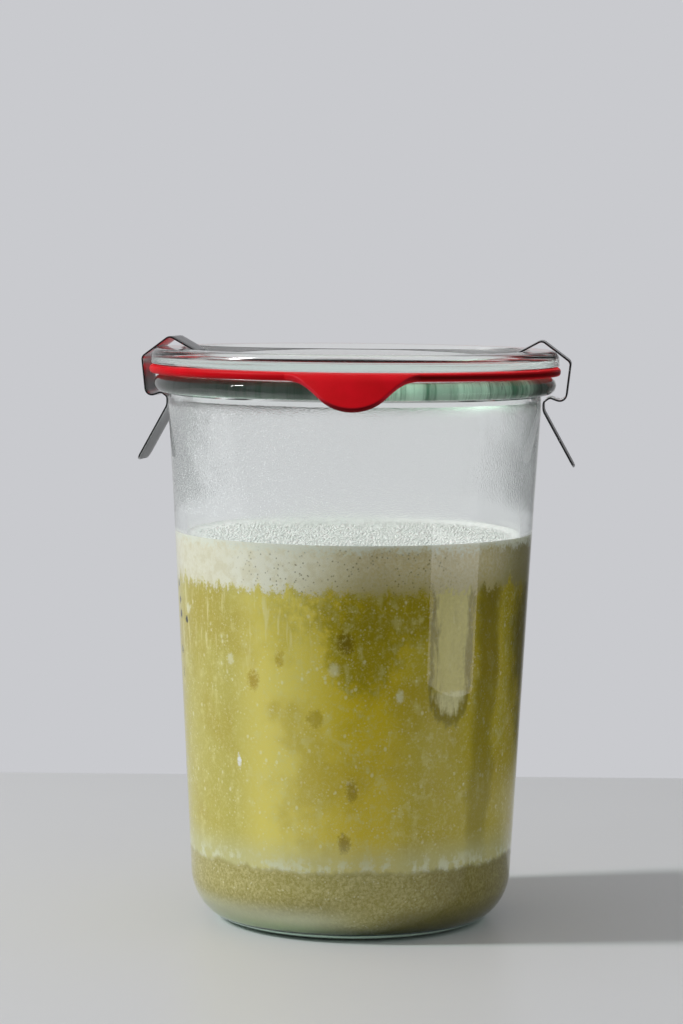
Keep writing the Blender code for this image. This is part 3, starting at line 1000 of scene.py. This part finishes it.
def spring_clip(name, azimuth):
    """One bent strip, given its thickness and broken edges, at its azimuth on the lid."""
    corners = clip_corners()
    base = bpy.data.meshes.new(name + "_line")
    points = [(corner.x, 0, corner.y) for corner, bend in corners]
    base.from_pydata(points, list(zip(range(len(points) - 1), range(1, len(points)))), [])
    bends = base.attributes.new("bend", "FLOAT", "POINT")
    bends.data.foreach_set("value", [bend for corner, bend in corners])
    shell = {"thickness": STRIP_THICK, "offset": 0, "use_even_offset": True}
    soft = {"width": 0.00008, "segments": 2, "angle_limit": math.radians(50)}
    mesh = strip_pattern(steel(name + "_steel", azimuth)).grown(
        name, base, ("SOLIDIFY", shell), ("BEVEL", soft)
    )
    mesh.transform(Matrix.Rotation(azimuth, 4, "Z"))
    return settle(name, mesh, None, math.radians(30))


def domes(name, base, surface, sides, sizes):
    """Low domes of uneven size scattered over a surface, no two closer than the spacing.

    They are dense at the front left, where light shows them, and thinned elsewhere.
    """
    tree = Pattern(name, sizes)
    x, y, z = tree.parts(tree.node("GeometryNodeInputPosition"))
    left = x.step(0.012, -0.030) * y.step(0.020, -0.004)
    share = left + (1 - left) * tree.given("Thinned")
    spots = tree.node(
        "GeometryNodeDistributePointsOnFaces",
        {"distribute_method": "POISSON"},
        {
            "Mesh": tree.entry_mesh(),
            "Distance Min": tree.given("Spacing"),
            "Density Max": tree.given("Density"),
            "Density Factor": share,
            "Seed": 11,
        },
    )
    chance = tree.node("FunctionNodeRandomValue", {"data_type": "FLOAT"}, {"Seed": 5}, 1)
    least = tree.given("Least")
    radius = least + (tree.given("Most") - least) * chance**2 * share
    values = {0: radius, 1: radius, 2: radius * tree.given("Rise")}
    scale = tree.node("ShaderNodeCombineXYZ", values=values)
    values = {"Segments": sides, "Rings": sides // 2, "Radius": 1.0}
    ball = tree.node("GeometryNodeMeshUVSphere", values=values)
    values = {"Points": spots, "Instance": ball, "Rotation": spots.out("Rotation"), "Scale": scale}
    tree.leave(tree.node("GeometryNodeInstanceOnPoints", values=values), surface)
    return settle(name, tree.grown(name, base), None, math.pi)


# The pieces, each on its body

jar = glass_body()
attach(jar, "jar")
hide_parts("glass_jar")

lid = lid_body()
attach(lid, "lid")
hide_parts("glass_lid")

for piece, node, slot in zip(
    contents(),
    ("pulp_sediment", "green_juice", "juice_foam"),
    ("sediment", "green_juice", "juice_foam"),
):
    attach(piece, "jar")
    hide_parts(node)

headspace = [(bore_radius(height) - HEADSPACE_INSET, height) for height in HEADSPACE_HEIGHTS]
droplets = domes(
    "condensation",
    spun("headspace", headspace, 96),
    water(),
    sides=4,
    sizes={
        "Spacing": 0.00038,
        "Density": 1.2e7,
        "Least": 0.00007,
        "Most": 0.00024,
        "Rise": 0.60,
        "Thinned": 0.25,
    },
)
froth_reach = bore_radius(FOAM_TOP)
froth_top = [(froth_reach * share, FOAM_TOP - BUBBLES_SINK) for share in (0.02, 0.4, 0.7, 0.995)]
bubbles = domes(
    "froth_bubbles",
    spun("froth_top", froth_top, 96),
    foam_surface(),
    sides=6,
    sizes={
        "Spacing": 0.00075,
        "Density": 4.0e6,
        "Least": 0.00022,
        "Most": 0.00052,
        "Rise": 0.5,
        "Thinned": 1.0,
    },
)
# inner sheets in the rim and the foot, whose colours paint light and shade
rim_painted_depth = settle("rim_painted_depth", spun("rim_painted_depth", RIM_PAINTED_DEPTH + RIM_PAINTED_DEPTH[:1]), rim_painted_depth_glass())
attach(rim_painted_depth, "jar")
reach, rise = HEEL_REACH - FOOT_PAINTED_DEPTH_INSET, HEEL_RISE - FOOT_PAINTED_DEPTH_INSET
foot_reach = arc((BEARING_OUTER, HEEL_RISE), reach, rise, *FOOT_PAINTED_DEPTH_ARC, 10)
foot_painted_depth = settle("foot_painted_depth", spun("foot_painted_depth", [FOOT_PAINTED_DEPTH_START] + foot_reach), foot_painted_depth_glass())
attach(foot_painted_depth, "jar")
for piece in (droplets, bubbles):
    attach(piece, "jar")

# The ring and the clips cast no shadow, which would lie as a hard dark line on the foam
ring = sealing_ring()
ring.visible_shadow = False
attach(ring, "ring")
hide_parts("rubber_ring")

for clip_name, clip_azimuth in CLIP_AZIMUTHS.items():
    clip = spring_clip("spring_" + clip_name, clip_azimuth)
    clip.visible_shadow = False
    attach(clip, clip_name)
    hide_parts(clip_name)


# Floor, background, lamps and camera

BACKGROUND = shown(201, 202, 206)
TABLE_END = 0.222
TABLE_HALVES = (1.6, 0.95)
KEY_AZIMUTH = math.radians(9.4)
KEY_SLANT = 0.707
KEY_DISTANCE = 1.8
CAMERA_PLACE = (-0.00324, -0.831, 0.1767)
CAMERA_LENS = 111.06
CAMERA_DIP = math.radians(4.76)
CAMERA_ROLL = math.radians(0.5)


def floor_piece():
    """Pale table. Towards the camera and far to the right it looks dark where it is mirrored."""
    made, tree = material("pale_floor")
    place = tree.place()
    grain = tree.noise(place, 14, 2)
    plain = tree.surface(
        {
            "Base Color": tree.blend(grain, (0.61, 0.615, 0.625, 1), (0.63, 0.635, 0.645, 1)),
            "Roughness": 0.42,
            "Specular IOR Level": 0.4,
        }
    )
    x, y, z = tree.parts(place)
    away = outwards(x, y, 0.16, 0.26) * x.step(0.05, 0.20) * y.step(-0.16, -0.02)
    away = away.most(y.step(-0.14, -0.30))
    dark = tree.node("ShaderNodeEmission", values={"Color": shown(80, 80, 82), "Strength": 1.0})
    tree.finish(tree.mixed(tree.ray("Is Reflection Ray") * away, plain, dark))
    shape = bmesh.new()
    bmesh.ops.create_grid(shape, x_segments=1, y_segments=1, size=1)
    bmesh.ops.transform(shape, matrix=Matrix.Diagonal((*TABLE_HALVES, 1, 1)), verts=shape.verts)
    bmesh.ops.translate(shape, vec=(0, TABLE_END - TABLE_HALVES[1], 0), verts=shape.verts)
    settle("pale_floor", cast("pale_floor", shape), made)


def backdrop():
    """Pale wherever the camera looks, a soft ceiling for lighting, a darker room for reflections."""
    world = bpy.data.worlds.new("studio")
    world.use_nodes = True
    bpy.context.scene.world = world
    tree = Tree(world.node_tree)
    path = tree.ray("Is Camera Ray")
    x, y, z = tree.parts(tree.node("ShaderNodeTexCoord", out="Generated"))

    # soft ceiling that lights the scene
    up = z.most(0)
    ceiling = up * up * 0.80 + 0.05
    soft = tree.blend(ceiling * z.step(-0.05, 0.0), (0, 0, 0, 1), (0.98, 0.99, 1.0, 1))

    # what glass shows through itself, and what it mirrors: a wall behind, a window on the left
    behind = y.step(0.15, 0.45)
    low = z.step(0.14, 0.04)
    window = x.step(-0.35, -0.75) * z.step(0.25, 0.50) * z.step(0.95, 0.80)
    through = behind.most(low) * z.step(0.42, 0.18) * 0.40 + 0.25 + window * 1.2
    paler_back = y.step(-0.25, 0.35) * x.step(0.45, 0.10) * z.step(0.5, 0.2)
    glancing = paler_back * 0.46 + 0.07 - x.step(0.4, 0.8) * 0.045
    glancing = glancing + window * 0.24 + z.step(0.55, 0.80) * 0.35
    room = tree.node(
        "ShaderNodeMix",
        {"data_type": "FLOAT"},
        {0: path.out("Is Transmission Ray"), 2: glancing, 3: through},
    )
    room_colour = tree.blend(room, (0, 0, 0, 1), (1.0, 1.005, 1.03, 1))
    seen = tree.blend(path, room_colour, BACKGROUND)
    sharp = path.most(path.out("Is Glossy Ray")).most(path.out("Is Transmission Ray"))
    around = tree.node("ShaderNodeBackground", values={"Color": soft, "Strength": 1.0})
    wall = tree.node("ShaderNodeBackground", values={"Color": seen, "Strength": 1.0})
    tree.node("ShaderNodeOutputWorld", values={"Surface": tree.mixed(sharp, around, wall)})


def lamp(name, size, power, place, towards):
    """A rectangle of light, hidden from the camera and behind glass, and shown in mirrors."""
    data = bpy.data.lights.new(name, "AREA")
    data.shape = "RECTANGLE"
    data.size, data.size_y = size
    data.energy = power
    made = linked(name, data)
    made.location = place
    aim = Vector(towards) - Vector(place)
    made.rotation_euler = aim.to_track_quat("-Z", "Y").to_euler()
    made.visible_camera = False
    made.visible_transmission = False


def camera():
    """The camera that was solved from the ellipses of the rim, the ring, the foam and the foot."""
    data = bpy.data.cameras.new("camera")
    data.sensor_width = 36
    data.lens = CAMERA_LENS
    data.clip_start, data.clip_end = 0.05, 20
    made = linked("camera", data)
    made.location = CAMERA_PLACE
    pitch = Matrix.Rotation(math.pi / 2 - CAMERA_DIP, 3, "X")
    made.rotation_euler = (pitch @ Matrix.Rotation(CAMERA_ROLL, 3, "Z")).to_euler()
    bpy.context.scene.camera = made


floor_piece()
backdrop()
key_way = Vector((-math.cos(KEY_AZIMUTH), -math.sin(KEY_AZIMUTH), 1.0)) * KEY_SLANT
lamp("key", (0.14, 0.50), 21.5, key_way * KEY_DISTANCE, (0, 0, 0.07))
lamp("low_fill", (0.180, 0.052), 0.042, (0.258, -0.124, 0.034), (0, 0, 0.034))
camera()

view = bpy.context.scene.view_settings
view.view_transform = "Standard"
